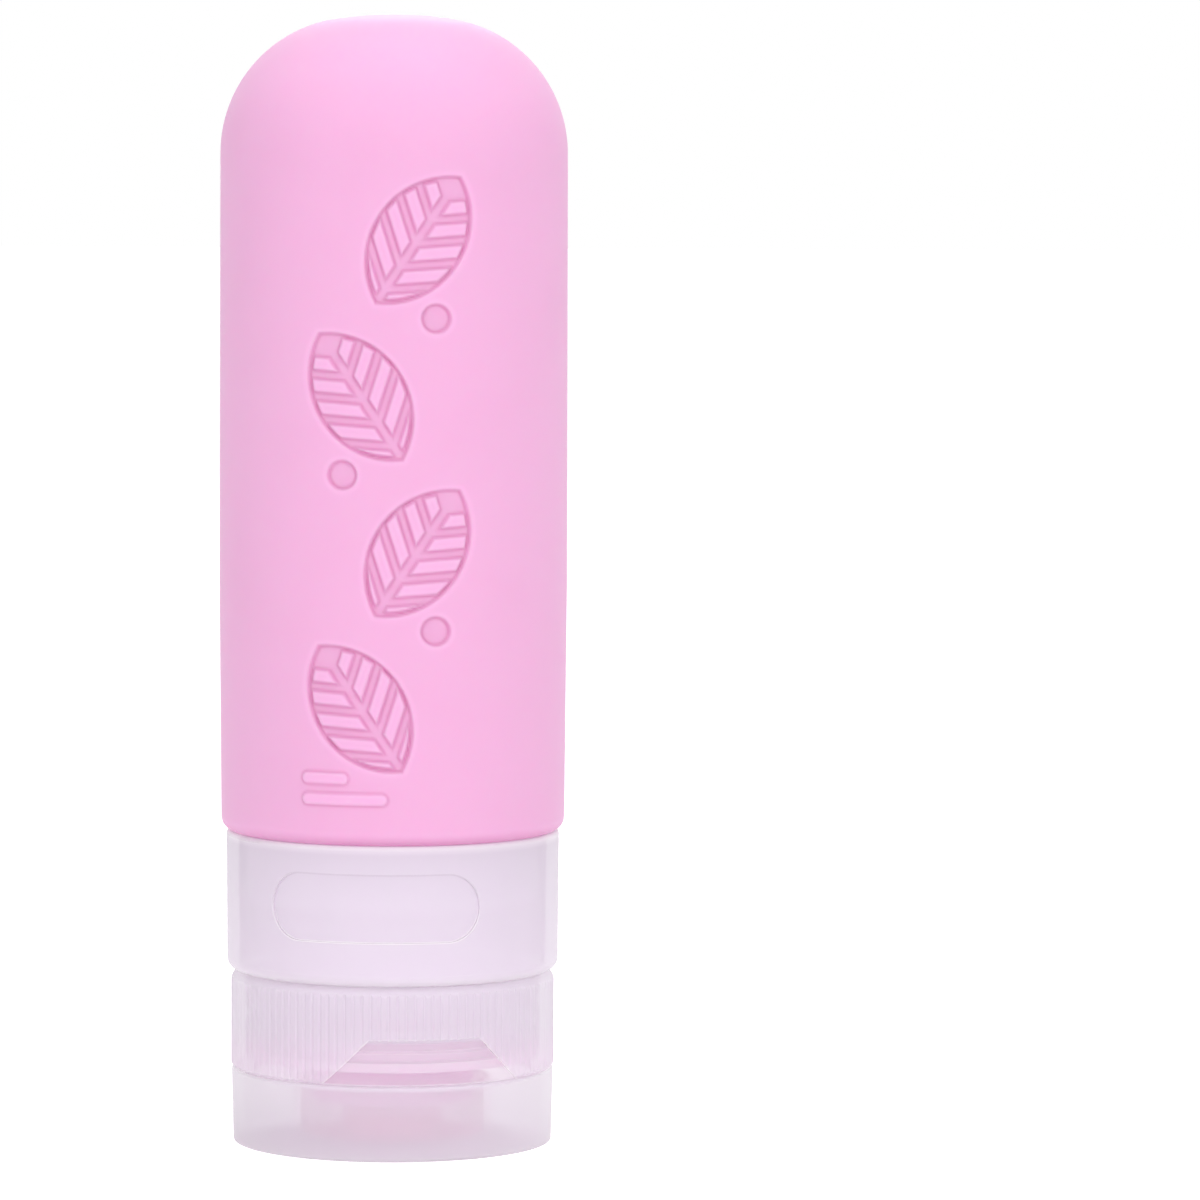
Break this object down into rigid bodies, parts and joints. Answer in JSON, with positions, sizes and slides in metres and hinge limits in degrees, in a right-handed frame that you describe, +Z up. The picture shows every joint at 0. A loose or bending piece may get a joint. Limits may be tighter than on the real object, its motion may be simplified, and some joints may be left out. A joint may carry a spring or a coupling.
{
  "type": "travel squeeze bottle",
  "caption": "Soft silicone squeeze bottle with a domed end, standing on a frosted screw cap with a flip lid, drip valve and butterfly hinge.",
  "frame": {"origin": "centre of the closed lid's flat end face, on which the bottle stands", "axes": "+Z up along the bottle to its domed end, -Y towards the front, where the label recess is"},
  "size_m": [0.0422, 0.0424, 0.1369],
  "materials": {
    "pink_silicone": "matte soft silicone",
    "seal_silicone": "matte soft silicone",
    "frosted_plastic": "milky translucent moulded plastic"
  },
  "bodies": {
    "bottle": {"squeeze_body": "pink_silicone", "neck_insert": "frosted_plastic", "collar": "frosted_plastic"},
    "gasket": {"cap_gasket": "seal_silicone"},
    "cap": {"cap_base": "frosted_plastic", "drip_valve": "pink_silicone", "valve_ring": "frosted_plastic", "hinge_web": "frosted_plastic", "hinge_wing_left": "frosted_plastic", "hinge_wing_right": "frosted_plastic"},
    "lid": {"flip_lid": "frosted_plastic"}
  },
  "joints": [
    {"name": "cap_travel", "type": "slide", "parent": "bottle", "child": "gasket", "axis": [0, 0, -1], "range_m": [0, 0.00375]},
    {"name": "cap_turn", "type": "hinge", "parent": "gasket", "child": "cap", "pos_m": [0, 0, 0.02], "axis": [0, 0, -1], "range_deg": [0, 450]},
    {"name": "lid_hinge", "type": "hinge", "parent": "cap", "child": "lid", "pos_m": [-0.00462, 0.01925, 0.00911], "axis": [0.9724, 0.2334, 0], "range_deg": [0, 175], "deforming": ["hinge_web", "hinge_wing_left", "hinge_wing_right"]}
  ],
  "couplings": [
    {"joint": "cap_travel", "follows": "cap_turn", "m_per_rad": 0.00047746}
  ]
}
